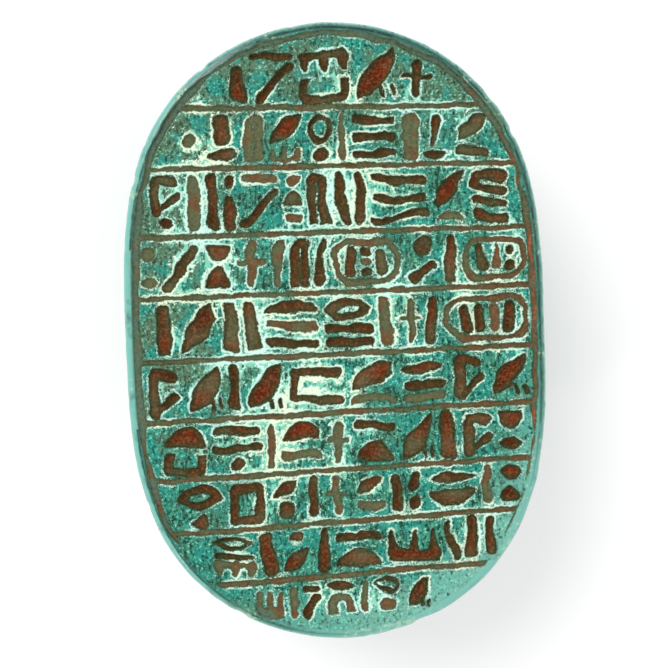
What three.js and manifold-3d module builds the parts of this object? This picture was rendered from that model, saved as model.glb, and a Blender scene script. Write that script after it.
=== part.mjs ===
// Scarab amulet, carved from one piece of stone. It lies on its back, with the inscribed underside of its
// plinth up. Millimetres. +Z is out of the inscribed face and +Y towards the beetle's head. The origin is
// on the surface that the amulet lies on, below the middle of the plinth.
import * as THREE from "three";
import { mergeVertices } from "three/addons/utils/BufferGeometryUtils.js";
import Module from "manifold-3d";

// Overall size
const LENGTH = 82;
const WIDTH = 55.8;
const HEIGHT = 34;

// The plinth is a plate whose outline is |x / half width|^WIDTH_POWER + |y / half length|^LENGTH_POWER = 1.
const WIDTH_POWER = 1.9;
const LENGTH_POWER = 3.2;
const PLINTH_THICKNESS = 6;
const PLINTH_SEGMENTS = 96;
const FACE_ROUNDING = 1.3;
const BACK_ROUNDING = 0.8;

// The inscribed face: a border line along the edge, and ruled lines between the ten rows
const BORDER_INSET = 2.3;
const LINE_WIDTH = 0.95;
const LINE_DEPTH = 0.55;
const FIRST_RULING_Y = 29.8;
const ROW_PITCHES = [7.8, 8.7, 7.9, 8.2, 7.8, 7.6, 7, 7.1];
const FIRST_RULING_SLOPE_DEG = -1.1;
const LAST_RULING_SLOPE_DEG = 2.6;

// The beetle stands on the back of the plinth. Each rise is a height above that surface.
const BODY_RISE = HEIGHT - PLINTH_THICKNESS;
const WORN_FLAT = 0.35; // how much is rubbed off the crest of the back
const DOME_WIDTH_POWER = 2.4;
const DOME_RISE_POWER = 2.2;
const CREST_RISE = BODY_RISE + WORN_FLAT;
const WING_CASES = { y: -5, halfWidth: 23.8, halfLength: 33.5, rise: CREST_RISE, segments: 84, rings: 12 };
const THORAX = { y: 6, halfWidth: 23, halfLength: 19.5, rise: 27, segments: 72, rings: 10 };
const HEAD = { y: 25, halfWidth: 9.5, halfLength: 9, rise: 17, segments: 32, rings: 6 };
const EYE = { x: 9.4, y: 26, halfWidth: 2.2, halfLength: 3, rise: 12.5, segments: 16, rings: 4 };
const WING_CASE_FRONT_Y = 6;
const SEAM = { width: 1, depth: 0.7, lowestRise: 10 };
const ROOT = 1; // how far every part of the beetle reaches into the plinth
const CREST_SHARE = 0.1; // size of a dome's topmost ring, as a share of its foot

// The shovel-shaped front of the head, with teeth along its rim
const SHOVEL = {
  neck: [10.5, 22],
  cheek: [12.6, 28.5],
  rimY: 29.5,
  rimRadius: 10.9,
  rise: 8.6,
};
const SHOVEL_TEETH = 6;
const TOOTH_NOTCH = 1.5;
const RIM_HALF_ANGLE_DEG = 68;

// The legs of the right side, from body to foot, as [x, y, half width, rise]. The left side mirrors them.
const LEGS = {
  front: [[19.5, 14, 2.6, 13], [20.6, 22, 2.7, 11.5], [18, 29.5, 2.6, 9.5], [13.6, 35.6, 2.2, 7.5]],
  middle: [[21.5, 12, 2.4, 13], [24.3, 4, 2.5, 12], [25, -5, 2.3, 10.5], [24, -14, 1.9, 8]],
  hind: [[23, -4, 2.4, 14.5], [23.7, -14, 2.5, 13], [21.6, -25, 2.3, 11], [15.2, -34, 1.9, 8]],
};
const LEG_STEPS = 12;
const LEG_SECTION = [[-1, 0], [-1, 0.62], [-0.72, 0.9], [0, 1], [0.72, 0.9], [1, 0.62], [1, 0]];
const SHIN_TEETH = { count: 4, radius: 1.25, from: 0.56, to: 0.96, riseShare: 0.75 };

// The hole for the cord runs lengthwise through the body, just clear of the plinth.
const CORD_HOLE_RADIUS = 3;
const CORD_HOLE_RISE = 4.5;
const CORD_HOLE_SEGMENTS = 24;

const PLINTH_BACK_Z = HEIGHT - PLINTH_THICKNESS;
const zOfRise = (rise) => PLINTH_BACK_Z - rise;

const wasm = await Module();
wasm.setup();

// A closed three.js geometry as a solid that can be joined and cut
function solid(geometry) {
  const bare = geometry.clone();
  bare.deleteAttribute("normal");
  bare.deleteAttribute("uv");
  const merged = mergeVertices(bare, 1e-4);
  return new wasm.Manifold(
    new wasm.Mesh({
      numProp: 3,
      vertProperties: merged.attributes.position.array,
      triVerts: new Uint32Array(merged.index.array),
    }),
  );
}

// A solid as a three.js geometry with flat faces
function geometryOf(made) {
  const { vertProperties, triVerts } = made.getMesh();
  const indexed = new THREE.BufferGeometry();
  indexed.setAttribute("position", new THREE.BufferAttribute(vertProperties, 3));
  indexed.setIndex(new THREE.BufferAttribute(triVerts, 1));
  const faceted = indexed.toNonIndexed();
  faceted.computeVertexNormals();
  return faceted;
}

// A closed skin through loops with equally many points, each end loop closed by a fan to its middle.
// The loops run anticlockwise as seen from the last loop's side.
function loft(loops) {
  const count = loops[0].length;
  const middle = (loop) => loop.reduce((sum, p) => sum.add(p), new THREE.Vector3()).divideScalar(count);
  const points = [...loops.flat(), middle(loops[0]), middle(loops.at(-1))];
  const [firstMiddle, lastMiddle] = [points.length - 2, points.length - 1];
  const lastLoop = (loops.length - 1) * count;
  const faces = [];
  for (let i = 0; i < count; i++) {
    const next = (i + 1) % count;
    faces.push(firstMiddle, next, i, lastMiddle, lastLoop + i, lastLoop + next);
    for (let start = 0; start < lastLoop; start += count) {
      const [a, b, c, d] = [start + i, start + next, start + count + next, start + count + i];
      faces.push(a, b, c, a, c, d);
    }
  }
  const skin = new THREE.BufferGeometry().setFromPoints(points);
  skin.setIndex(faces);
  return skin;
}

// Half the plinth's width at a place along its length, for a plinth drawn in by an inset all round
function halfWidthAt(y, inset) {
  const along = Math.min(1, Math.abs(y) / (LENGTH / 2 - inset));
  return (WIDTH / 2 - inset) * (1 - along ** LENGTH_POWER) ** (1 / WIDTH_POWER);
}

// The plinth's outline, evenly spaced along its length, drawn in by an inset and at a height
function outline(inset, z, count = PLINTH_SEGMENTS) {
  const fine = 40 * count;
  const dense = Array.from({ length: fine + 1 }, (_, i) => {
    const turn = (i / fine) * 2 * Math.PI;
    const [c, s] = [Math.cos(turn), Math.sin(turn)];
    const x = (WIDTH / 2 - inset) * Math.sign(c) * Math.abs(c) ** (2 / WIDTH_POWER);
    const y = (LENGTH / 2 - inset) * Math.sign(s) * Math.abs(s) ** (2 / LENGTH_POWER);
    return new THREE.Vector3(x, y, z);
  });
  const travelled = [0];
  for (let i = 1; i <= fine; i++) travelled.push(travelled[i - 1] + dense[i].distanceTo(dense[i - 1]));
  const step = travelled[fine] / count;
  let at = 0;
  return Array.from({ length: count }, (_, i) => {
    while (travelled[at + 1] < i * step) at++;
    const share = (i * step - travelled[at]) / (travelled[at + 1] - travelled[at]);
    return dense[at].clone().lerp(dense[at + 1], share);
  });
}

// The plate, with a quarter round at the face's edge and a smaller one at the back's
function plinth() {
  const quarterRound = (radius, centreZ, startDeg) =>
    [0, 1, 2, 3].map((k) => {
      const angle = THREE.MathUtils.degToRad(startDeg + 30 * k);
      return outline(radius * (1 - Math.cos(angle)), centreZ + radius * Math.sin(angle));
    });
  return solid(
    loft([
      ...quarterRound(BACK_ROUNDING, PLINTH_BACK_Z + BACK_ROUNDING, -90),
      ...quarterRound(FACE_ROUNDING, HEIGHT - FACE_ROUNDING, 0),
    ]),
  );
}

// A dome on an oval foot. At a share s of the way out to the foot, its rise is
// full rise * (1 - s ^ DOME_WIDTH_POWER) ^ (1 / DOME_RISE_POWER).
function dome({ x = 0, y, halfWidth, halfLength, rise, segments, rings }) {
  const ovalRing = (out, z) =>
    Array.from({ length: segments }, (_, i) => {
      const turn = (-i / segments) * 2 * Math.PI;
      const [across, along] = [halfWidth * Math.cos(turn), halfLength * Math.sin(turn)];
      return new THREE.Vector3(x + out * across, y + out * along, z);
    });
  const foot = ovalRing(1, PLINTH_BACK_Z + ROOT);
  const loops = [];
  for (let ring = 1; ring < rings; ring++) {
    const climb = (ring / rings) * (Math.PI / 2);
    const out = Math.cos(climb) ** (2 / DOME_WIDTH_POWER);
    loops.push(ovalRing(out, zOfRise(rise * Math.sin(climb) ** (2 / DOME_RISE_POWER))));
  }
  const nearCrest = ovalRing(CREST_SHARE, zOfRise(rise));
  return solid(loft([foot, ...loops, nearCrest]));
}

// A box from its lowest to its highest corner
function block(low, high) {
  const [width, length, height] = [0, 1, 2].map((axis) => high[axis] - low[axis]);
  const middle = [0, 1, 2].map((axis) => (low[axis] + high[axis]) / 2);
  return solid(new THREE.BoxGeometry(width, length, height).translate(...middle));
}

// The head's flat front plate: cheeks, then a rim of teeth on an arc
function shovel() {
  const { neck, cheek, rimY, rimRadius, rise } = SHOVEL;
  const shape = new THREE.Shape();
  shape.moveTo(...neck);
  shape.lineTo(...cheek);
  const halfAngle = THREE.MathUtils.degToRad(RIM_HALF_ANGLE_DEG);
  for (let k = 0; k <= 2 * SHOVEL_TEETH; k++) {
    const angle = Math.PI / 2 - halfAngle + (k / (2 * SHOVEL_TEETH)) * 2 * halfAngle;
    const radius = rimRadius - (k % 2 === 0 ? TOOTH_NOTCH : 0);
    shape.lineTo(radius * Math.cos(angle), rimY + radius * Math.sin(angle));
  }
  shape.lineTo(-cheek[0], cheek[1]);
  shape.lineTo(-neck[0], neck[1]);
  const plate = new THREE.ExtrudeGeometry(shape, { depth: rise + ROOT, bevelEnabled: false });
  return solid(plate.translate(0, 0, zOfRise(rise)));
}

// One leg in high relief: a round-topped wall along its path, and on a front leg's shin, teeth between two
// shares of the leg's length
function leg(stations, side, hasTeeth) {
  const route = new THREE.CatmullRomCurve3(stations.map(([x, y]) => new THREE.Vector3(side * x, y, 0)));
  const sizes = stations.map(([, , halfWidth, rise]) => new THREE.Vector3(halfWidth, rise, 0));
  const widths = new THREE.CatmullRomCurve3(sizes);
  const loops = [];
  for (let step = 0; step <= LEG_STEPS; step++) {
    const t = step / LEG_STEPS;
    const centre = route.getPoint(t);
    const along = route.getTangent(t);
    const { x: halfWidth, y: rise } = widths.getPoint(t);
    const across = new THREE.Vector3(-along.y, along.x, 0);
    loops.push(
      LEG_SECTION.map(([out, up]) => {
        const z = up === 0 ? PLINTH_BACK_Z + ROOT : zOfRise(up * rise);
        return centre.clone().addScaledVector(across, out * halfWidth).setZ(z);
      }),
    );
  }
  let made = solid(loft(loops));
  const { count, radius, from, to, riseShare } = SHIN_TEETH;
  for (let tooth = 0; hasTeeth && tooth < count; tooth++) {
    const t = THREE.MathUtils.lerp(from, to, tooth / (count - 1));
    const { x: halfWidth, y: rise } = widths.getPoint(t);
    const along = route.getTangent(t);
    const outwards = new THREE.Vector3(along.y, -along.x, 0).multiplyScalar(side * halfWidth);
    const foot = route.getPoint(t).add(outwards);
    const height = riseShare * rise + ROOT;
    const peg = new THREE.CylinderGeometry(radius, radius, height, 10).rotateX(Math.PI / 2);
    made = made.add(solid(peg.translate(foot.x, foot.y, PLINTH_BACK_Z + ROOT - height / 2)));
  }
  return made;
}

// The line down the middle of the wing cases and the one across behind the thorax, both as thin cutters
// that stop at a dome one seam's depth inside the wing cases
function seams() {
  const { y, halfWidth, halfLength, rise } = WING_CASES;
  const { depth, width, lowestRise } = SEAM;
  const inner = { halfWidth: halfWidth - depth, halfLength: halfLength - depth, rise: rise - depth };
  const below = zOfRise(rise) - depth;
  const above = zOfRise(lowestRise);
  const front = WING_CASE_FRONT_Y + width / 2;
  const middle = block([-width / 2, y - halfLength, below], [width / 2, front, above]);
  const across = block([-WIDTH / 2, front - width, below], [WIDTH / 2, front, above]);
  return middle.add(across).subtract(dome({ ...WING_CASES, ...inner }));
}

// The border line along the edge of the face and the ruled lines between the rows
function ruledLines() {
  const floorZ = HEIGHT - LINE_DEPTH;
  const band = (inset) => solid(loft([outline(inset, floorZ), outline(inset, HEIGHT + 1)]));
  let lines = band(BORDER_INSET).subtract(band(BORDER_INSET + LINE_WIDTH));
  let y = FIRST_RULING_Y;
  const last = ROW_PITCHES.length;
  for (let k = 0; k <= last; k++) {
    const slopeDeg = THREE.MathUtils.lerp(FIRST_RULING_SLOPE_DEG, LAST_RULING_SLOPE_DEG, k / last);
    const reach = halfWidthAt(y, BORDER_INSET + LINE_WIDTH / 2);
    const ruling = new THREE.BoxGeometry(2 * reach, LINE_WIDTH, 1 + LINE_DEPTH)
      .rotateZ(THREE.MathUtils.degToRad(slopeDeg))
      .translate(0, y, (floorZ + HEIGHT + 1) / 2);
    lines = lines.add(solid(ruling));
    y -= ROW_PITCHES[k] ?? 0;
  }
  return lines;
}

function cordHole() {
  const length = LENGTH + 10;
  const hole = new THREE.CylinderGeometry(CORD_HOLE_RADIUS, CORD_HOLE_RADIUS, length, CORD_HOLE_SEGMENTS);
  return solid(hole.translate(0, 0, zOfRise(CORD_HOLE_RISE)));
}

function scarab() {
  const behindThorax = block([-WIDTH, -LENGTH, -HEIGHT], [WIDTH, WING_CASE_FRONT_Y, HEIGHT]);
  let body = dome(WING_CASES).intersect(behindThorax).add(dome(THORAX)).subtract(seams());
  body = body.add(dome(HEAD)).add(shovel());
  for (const side of [-1, 1]) {
    body = body.add(dome({ ...EYE, x: side * EYE.x }));
    for (const [name, stations] of Object.entries(LEGS)) {
      body = body.add(leg(stations, side, name === "front"));
    }
  }
  const belowFloor = block([-WIDTH, -LENGTH, -HEIGHT], [WIDTH, LENGTH, 0]);
  return plinth().add(body).subtract(ruledLines()).subtract(cordHole()).subtract(belowFloor);
}

const glazedStone = new THREE.MeshStandardMaterial({ color: 0x3f9582, roughness: 0.38, metalness: 0 });
const amulet = new THREE.Mesh(geometryOf(scarab()), glazedStone);
amulet.name = "scarab_amulet";

const group = new THREE.Group();
group.add(amulet);

export default group;
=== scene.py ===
import math

import bpy
import numpy as np
from mathutils import Matrix, Vector


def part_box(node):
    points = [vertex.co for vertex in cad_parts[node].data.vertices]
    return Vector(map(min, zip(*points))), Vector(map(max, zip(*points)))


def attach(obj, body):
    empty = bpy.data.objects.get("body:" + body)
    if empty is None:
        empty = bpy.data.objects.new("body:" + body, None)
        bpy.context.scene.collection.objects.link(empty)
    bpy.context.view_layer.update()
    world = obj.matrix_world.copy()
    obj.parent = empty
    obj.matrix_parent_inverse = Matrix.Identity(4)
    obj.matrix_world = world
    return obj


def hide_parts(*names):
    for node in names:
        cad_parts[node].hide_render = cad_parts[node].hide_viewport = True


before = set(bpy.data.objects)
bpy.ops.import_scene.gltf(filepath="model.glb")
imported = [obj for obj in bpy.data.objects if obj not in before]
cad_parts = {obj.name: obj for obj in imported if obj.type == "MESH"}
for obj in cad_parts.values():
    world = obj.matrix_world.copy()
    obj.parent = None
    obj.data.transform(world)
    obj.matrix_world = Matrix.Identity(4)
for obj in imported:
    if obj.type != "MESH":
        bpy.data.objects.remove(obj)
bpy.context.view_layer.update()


# ---- The plinth's outline -------------------------------------------------------------------------
# The real plinth is the oval plate under the beetle, cut from the same soft stone. The carver sawed its
# sides upright and rubbed its edges round. Lengths are in millimetres until the mesh is made.

MM = 0.001
lowest, highest = (np.array(corner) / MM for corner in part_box("scarab_amulet"))
HALF_WIDTH, HALF_LENGTH = (highest - lowest)[:2] / 2
FACE_Z = highest[2]
PLINTH_THICKNESS = 6.0
PLINTH_BACK_Z = FACE_Z - PLINTH_THICKNESS
WIDTH_POWER = 1.9
LENGTH_POWER = 3.2
FACE_ROUNDING = 0.85
BACK_ROUNDING = 0.8
OUTLINE_STEPS = 12
TINY = 1e-9


def plinth_plan(disc_x, disc_y, inset):
    """Carries the unit disc to the plinth's oval, drawn in by the inset.

    All round the oval, x over the half width, to the power 1.9, and y over the half length, to the power
    3.2, add up to 1. A point on the disc's rim moves along its own direction until it meets the oval, and
    a point inside the rim moves by that share times its squared distance from the middle. Newton's steps
    find the stretch that reaches the oval."""
    radius = np.hypot(disc_x, disc_y)
    cosine = np.abs(disc_x) / np.maximum(radius, TINY)
    cosine = np.where(radius < TINY, 1.0, cosine)
    sine = np.abs(disc_y) / np.maximum(radius, TINY)
    stretch = np.ones_like(radius)
    for _ in range(OUTLINE_STEPS):
        across = (stretch * cosine) ** WIDTH_POWER
        along = (stretch * sine) ** LENGTH_POWER
        growth = (WIDTH_POWER * across + LENGTH_POWER * along) / stretch
        stretch -= (across + along - 1) / growth
    share = 1 + (stretch - 1) * radius**2
    return (HALF_WIDTH - inset) * disc_x * share, (HALF_LENGTH - inset) * disc_y * share


# ---- The inscribed face ---------------------------------------------------------------------------
# The real face is flat and holds ten rows of writing, cut with a graver between ruled lines. Here the rows
# hold plain strokes that say nothing: posts, bars, leaves, domes, rings and rounded frames.

FACE_COLUMNS = 204
FACE_ROWS = 300
RULED_LINE_HALF_WIDTH = 0.43
RULED_LINE_DEPTH = 0.38
BORDER_INSET = 1.15
BORDER_DEPTH = 0.3
FIRST_RULING_Y = 29.8
ROW_PITCHES = (7.8, 8.7, 7.9, 8.2, 7.8, 7.6, 7.0, 7.1)
FIRST_SLOPE, LAST_SLOPE = -0.019, 0.045
STROKE = 0.66
FAR = 9.0
LATTICE_CELLS = 64


def lattice_noise(x, y, cell, seed):
    """Smooth noise from -1 to 1: random values at the corners of square cells, blended by a smoothstep."""
    table = np.random.default_rng(seed).uniform(-1, 1, (LATTICE_CELLS, LATTICE_CELLS))
    column, row = np.floor(x / cell).astype(int), np.floor(y / cell).astype(int)
    across, up = x / cell - column, y / cell - row
    across, up = across * across * (3 - 2 * across), up * up * (3 - 2 * up)

    def corner(to_right, above):
        return table[(column + to_right) % LATTICE_CELLS, (row + above) % LATTICE_CELLS]

    lower = corner(0, 0) * (1 - across) + corner(1, 0) * across
    upper = corner(0, 1) * (1 - across) + corner(1, 1) * across
    return lower * (1 - up) + upper * up


def smoothstep(low, high, value):
    """0 up to low, 1 from high on, and a smooth S between them."""
    share = np.clip((value - low) / (high - low), 0, 1)
    return share * share * (3 - 2 * share)


def stroke(x, y, start, end, start_radius=STROKE, end_radius=STROKE):
    """Distance outside a line from start to end whose half width runs from one radius to the other."""
    run, climb = end[0] - start[0], end[1] - start[1]
    along = np.clip(((x - start[0]) * run + (y - start[1]) * climb) / (run * run + climb * climb), 0, 1)
    off_line = np.hypot(x - start[0] - along * run, y - start[1] - along * climb)
    return off_line - start_radius - along * (end_radius - start_radius)


def slab(x, y, half_width, half_height, corner=0.25):
    """Distance outside a rectangle with round corners."""
    past_x, past_y = np.abs(x) - half_width + corner, np.abs(y) - half_height + corner
    outside = np.hypot(np.maximum(past_x, 0), np.maximum(past_y, 0))
    return outside + np.minimum(np.maximum(past_x, past_y), 0) - corner


def disc(x, y, half_width, half_height):
    """Distance outside an ellipse, nearly: the share of the way out to it, less 1, over its own slope."""
    k = np.hypot(x / half_width, y / half_height)
    slope = np.hypot(x / half_width**2, y / half_height**2)
    return k * (k - 1) / np.maximum(slope, 1e-6)


def lens(x, y, half_width, half_height):
    """Distance outside a pointed oval, the overlap of two equal discs."""
    radius = (half_width**2 + half_height**2) / (2 * half_height)
    return np.hypot(x, np.abs(y) + radius - half_height) - radius


def leaf(x, y, a, b):
    """Distance outside a pointed oval that leans to the right."""
    reach = math.hypot(a, b)
    cosine, sine = a / reach, b / reach
    return lens(x * cosine + y * sine, y * cosine - x * sine, 0.94 * reach, 0.37 * reach)


def leaf_and_ticks(x, y, a, b):
    """Distance outside a leaf with two short ticks in the corner below it."""
    made = leaf(x, y, a, b)
    for place in (0.25, 0.75):
        foot = ((place + 0.1) * a, -b + 0.45)
        made = np.minimum(made, stroke(x, y, (place * a, -0.5 * b), foot, 0.38, 0.34))
    return made


def dome(x, y, a, b):
    """Distance outside the upper half of an ellipse."""
    return np.maximum(disc(x, y + 0.8 * b, a, 1.75 * b), -y - 0.85 * b)


def arch(x, y, a, b):
    """Distance outside two posts joined by a round top."""
    radius = a - STROKE
    ring = np.abs(np.hypot(x, np.maximum(y - b + a, 0)) - radius) - STROKE
    return np.maximum(ring, -y - b)


def cup(x, y, a, b):
    """Distance outside a bar with a short post up at each end."""
    return np.maximum(np.abs(slab(x, y - 0.4 * b, a - STROKE, 1.25 * b, 0.3)) - STROKE, y - 0.85 * b)


def hook(x, y, a, b):
    """Distance outside a post that curls over to the right, with a slanted stroke beside its foot."""
    post = stroke(x, y, (-0.55 * a, -b + 0.6), (-0.6 * a, 0.55 * b), 0.75, 0.7)
    curl = stroke(x, y, (-0.55 * a, 0.72 * b), (0.5 * a, 0.62 * b), 0.62, 0.8)
    slant = stroke(x, y, (-0.4 * a, -0.7 * b), (0.72 * a, -0.12 * b), 0.5, 0.62)
    return np.minimum(np.minimum(post, curl), slant)


def fork(x, y, a, b):
    """Distance outside two long bars joined at their left ends, each with a thick tip."""
    bars = stroke(x, np.abs(y), (-a + 0.7, 0.5 * b), (a - 0.8, 0.56 * b), 0.55, 0.8)
    return np.minimum(bars, stroke(x, y, (-a + 0.8, -0.45 * b), (-a + 0.8, 0.45 * b), 0.75, 0.75))


def comb(x, y, a, b):
    """Distance outside a bar with three pointed teeth standing on it."""
    made = slab(x, y + 0.6 * b, a, 0.4 * b, 0.3)
    for place in (-0.8, 0.0, 0.8):
        made = np.minimum(made, stroke(x, y, (place * a, -0.5 * b), (place * a, 0.6 * b), 0.27 * a, 0.4))
    return made


def crossed(x, y, a, b):
    """Distance outside a post with a shorter bar across it."""
    post = stroke(x, y, (0, -b + 0.5), (0, b - 0.8), 0.5, 0.72)
    return np.minimum(post, stroke(x, y, (-a + 0.4, 0.1 * b), (a - 0.4, 0.1 * b), 0.42, 0.42))


def wavy(x, y, a, b):
    """Distance outside a bar that swells and dips once."""
    return slab(x, y - 0.35 * b * np.sin(2.6 * x / a), a, min(b, 0.6), 0.5)


# Each mark fills a cell of half width a and half height b.
MARKS = {
    "bare": lambda x, y, a, b: np.full_like(x, FAR),
    "post": lambda x, y, a, b: slab(x * (1 + 0.12 * y / b), y, min(a, 0.82), b, 0.7),
    "block": lambda x, y, a, b: slab(x + 0.08 * y, y, min(a, 1.05) * (1 - 0.12 * y / b), b, 0.6),
    "bar": lambda x, y, a, b: slab(x, y + 0.03 * x, a, min(b, 0.66), 0.5),
    "slash": lambda x, y, a, b: stroke(x, y, (-a + 0.7, -b + 0.6), (a - 0.6, b - 0.5), 0.8, 0.62),
    "slip": lambda x, y, a, b: stroke(x, y, (-a + 0.5, b - 0.5), (a - 0.5, -b + 0.6), 0.5, 0.6),
    "leaf": leaf,
    "ticked": leaf_and_ticks,
    "lens": lambda x, y, a, b: lens(x, y, a, min(b, 0.95)),
    "eye": lambda x, y, a, b: np.maximum(lens(x, y, a, b), -lens(x, y, 0.5 * a, 0.3 * b)),
    "dot": lambda x, y, a, b: disc(x, y, min(a, 1.05), min(b, 0.95)),
    "disc": lambda x, y, a, b: disc(x, y, min(a, 1.25), min(b, 1.2)),
    "ring": lambda x, y, a, b: np.abs(disc(x, y, a - 0.45, b - 0.45)) - 0.45,
    "dome": dome,
    "bowl": lambda x, y, a, b: dome(x, -y, a, b),
    "arch": arch,
    "cup": cup,
    "hook": hook,
    "fork": fork,
    "comb": comb,
    "rake": lambda x, y, a, b: comb(x, -y, a, b),
    "crossed": crossed,
    "wavy": wavy,
    "wedge": lambda x, y, a, b: stroke(x, y, (0.1 * a, b - 1.0), (-0.2 * a, -b + 0.4), 0.95, 0.4),
    "square": lambda x, y, a, b: np.abs(slab(x, y, a - STROKE, b - STROKE, 0.3)) - STROKE,
    "frame": lambda x, y, a, b: np.abs(slab(x, y, a - 0.45, b - 0.45, 0.7 * b)) - 0.45,
}

# The rows from the head end down: where each starts and ends across the face, then its groups. A group is
# a width and marks stacked from the top, and a digit after a mark is its share of the height. A tilde makes
# a mark shallow, and square brackets hold what stands side by side inside a frame.
ROWS = (
    (-12.9, 13.8, "2.2:bare2/block5 5.6:bar/slash3 6.6:rake2/cup2 5.6:ticked 4.0:bare1/crossed4"),
    (-19.3, 21.0, "2:~dot 4.4:block2/lens1 2.7:~arch 4.4:leaf2/~comb1 3.4:ring2/dot1 1:~post "
                  "5.8:bar/bar/wavy 2.3:~arch 3.4:wedge3/lens1 4.4:leaf2/bar1"),
    (-24.2, 23.6, "4.6:hook3/dot1 1.8:~post 1.5:post 1.6:dot/post2 4.8:~bar1/slash3 2.6:~dot/dome/~bar "
                  "2.8:arch 1.8:slip 1.5:post 7.8:bar/bar/wavy 4:leaf3/~dome1 5.4:fork2/bar/bar"),
    (-25.4, 25.7, "2.2:~lens/~dot 4.8:slash 3.4:bowl/dome 4:~crossed 2:~wedge 2.6:arch 1.2:post "
                  "9.6:frame[post,bar/~dot/bar,post] 4.2:disc/slash 1.6:post 9:frame[slip,~dome,dot/bar]"),
    (-23.8, 25.7, "2.1:block 4.6:leaf 1.9:block 1.9:block 6.6:dome/~bar/bar 6:eye2/bar/bar 1.6:~post "
                  "3:~crossed 1.5:post 10.4:frame[post,post,~post,post]"),
    (-25.1, 25.3, "3.9:hook 4.6:ticked 1.7:post 4.4:ticked 6.8:fork 5.8:leaf3/~bar1 5.8:lens2/bar/~bar "
                  "4:hook 4.6:ticked"),
    (-23.4, 24.4, "5.6:dome/cup 6.6:bar/wavy/dot 1.2:~post 5.2:dome/~bar 2.8:~crossed 5.4:bar/dome "
                  "4.8:ticked 1.9:block 4:hook 3.3:bowl/lens"),
    (-22.2, 24.0, "6:eye2/wedge1 4.6:square 3.6:leaf/post 1.7:slash 3.2:~crossed 3.6:leaf/~bar 1.5:post "
                  "1.8:slash/dot 6.2:lens/bowl 1.2:~slip 3:lens/disc"),
    (-17.4, 20.3, "5.4:eye2/bar/~rake2 1.8:block 4.2:dot/leaf2 1.8:slash 5.8:wavy/dome 6.8:comb 1.9:slip "
                  "1.5:post 1.5:post"),
    (-11.8, 11.4, "4.8:~comb 1.4:~post 3.4:bar/slash2 4.6:lens/~arch2 1.3:~post 4.8:eye/~dot 4.0:ticked"),
)
GROUP_GAP = 0.75
STACK_GAP = 0.35
ROW_MARGIN = 0.6
FIRST_ROW_HEIGHT = 8.2
LAST_ROW_HEIGHT = 6.1
FRAME_WALL = 1.6
FRAME_HEADROOM = 2.5
FRAMED_GAP = 0.5

ruling_y = FIRST_RULING_Y - np.concatenate([[0], np.cumsum(ROW_PITCHES)])
ruling_slope = np.linspace(FIRST_SLOPE, LAST_SLOPE, len(ruling_y))
line_y = np.concatenate([[ruling_y[0] + FIRST_ROW_HEIGHT], ruling_y, [ruling_y[-1] - LAST_ROW_HEIGHT]])
line_slope = np.concatenate([[0], ruling_slope, [LAST_SLOPE]])


def marks_of_group(text, x, y, width, height):
    """The marks of one stack as (name, is shallow, x, y, half width, half height), from the top down."""
    parts = [part.strip() for part in text.split("/")]
    shares = [float(part[-1]) if part[-1].isdigit() else 1.0 for part in parts]
    top = y + height / 2
    for part, share in zip(parts, shares):
        tall = height * share / sum(shares)
        name = part.rstrip("0123456789")
        yield name.lstrip("~"), name.startswith("~"), x, top - tall / 2, width / 2, (tall - STACK_GAP) / 2
        top -= tall


def marks_of_row(row):
    """All marks of one row, with widths scaled so that its groups and the gaps between them fill it."""
    start, end, text = ROWS[row]
    groups = [group.split(":") for group in text.split()]
    free = end - start - GROUP_GAP * (len(groups) - 1)
    scale = free / sum(float(width) for width, _ in groups)
    left = start
    for width_text, stack in groups:
        width = float(width_text) * scale
        x = left + width / 2
        upper, lower = (line_y[row + k] + line_slope[row + k] * x for k in (0, 1))
        y, height = (upper + lower) / 2, upper - lower - 2 * ROW_MARGIN
        if stack.startswith("frame"):
            yield "frame", True, x, y, width / 2, height / 2 - STACK_GAP
            framed = stack.removeprefix("frame[").removesuffix("]").split(",")
            pitch = (width - 2 * FRAME_WALL) / len(framed)
            for place, part in enumerate(framed):
                inner_x = left + FRAME_WALL + (place + 0.5) * pitch
                yield from marks_of_group(part, inner_x, y, pitch - FRAMED_GAP, height - FRAME_HEADROOM)
        else:
            yield from marks_of_group(stack, x, y, width, height)
        left += width + GROUP_GAP


def distance_inside_outline(x, y):
    """Distance in from the plinth's outline, to first order."""
    across, along = np.abs(x / HALF_WIDTH), np.abs(y / HALF_LENGTH)
    level = across**WIDTH_POWER + along**LENGTH_POWER
    slope_x = WIDTH_POWER * across ** (WIDTH_POWER - 1) / HALF_WIDTH
    slope_y = LENGTH_POWER * along ** (LENGTH_POWER - 1) / HALF_LENGTH
    return (1 - level) / np.maximum(np.hypot(slope_x, slope_y), 1e-3)


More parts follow.
